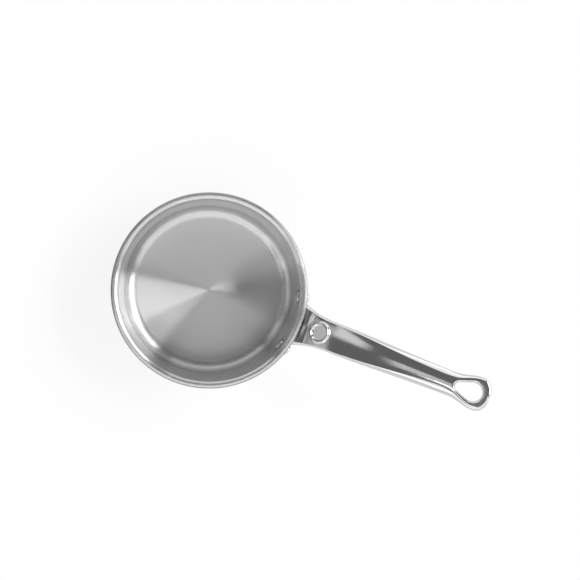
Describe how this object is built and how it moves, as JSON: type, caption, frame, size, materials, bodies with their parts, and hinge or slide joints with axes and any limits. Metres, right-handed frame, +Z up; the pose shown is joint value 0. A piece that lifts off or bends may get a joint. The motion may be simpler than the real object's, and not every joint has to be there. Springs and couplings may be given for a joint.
{
  "type": "saucepan",
  "caption": "Straight-sided clad steel saucepan with a flared pouring lip and a long riveted cast handle that ends in a hanging loop.",
  "frame": {"origin": "centre of the underside, on the surface that the saucepan stands on", "axes": "+Z up through the mouth, +X along the handle, +Y to the left of someone at the bowl looking along the handle"},
  "size_m": [0.3212, 0.166, 0.1319],
  "materials": {
    "brushed_liner": "satin, brushed in circles round the axis",
    "core": "rolled, seen only at the cut edge of the lip",
    "satin_skin": "satin, brushed round the wall",
    "handle": "cast and polished",
    "rivet": "upset and polished"
  },
  "bodies": {
    "root": {"inner_liner": "brushed_liner", "aluminium_core": "core", "outer_skin": "satin_skin", "cast_handle": "handle", "rivet_left": "rivet", "rivet_right": "rivet"}
  },
  "joints": []
}
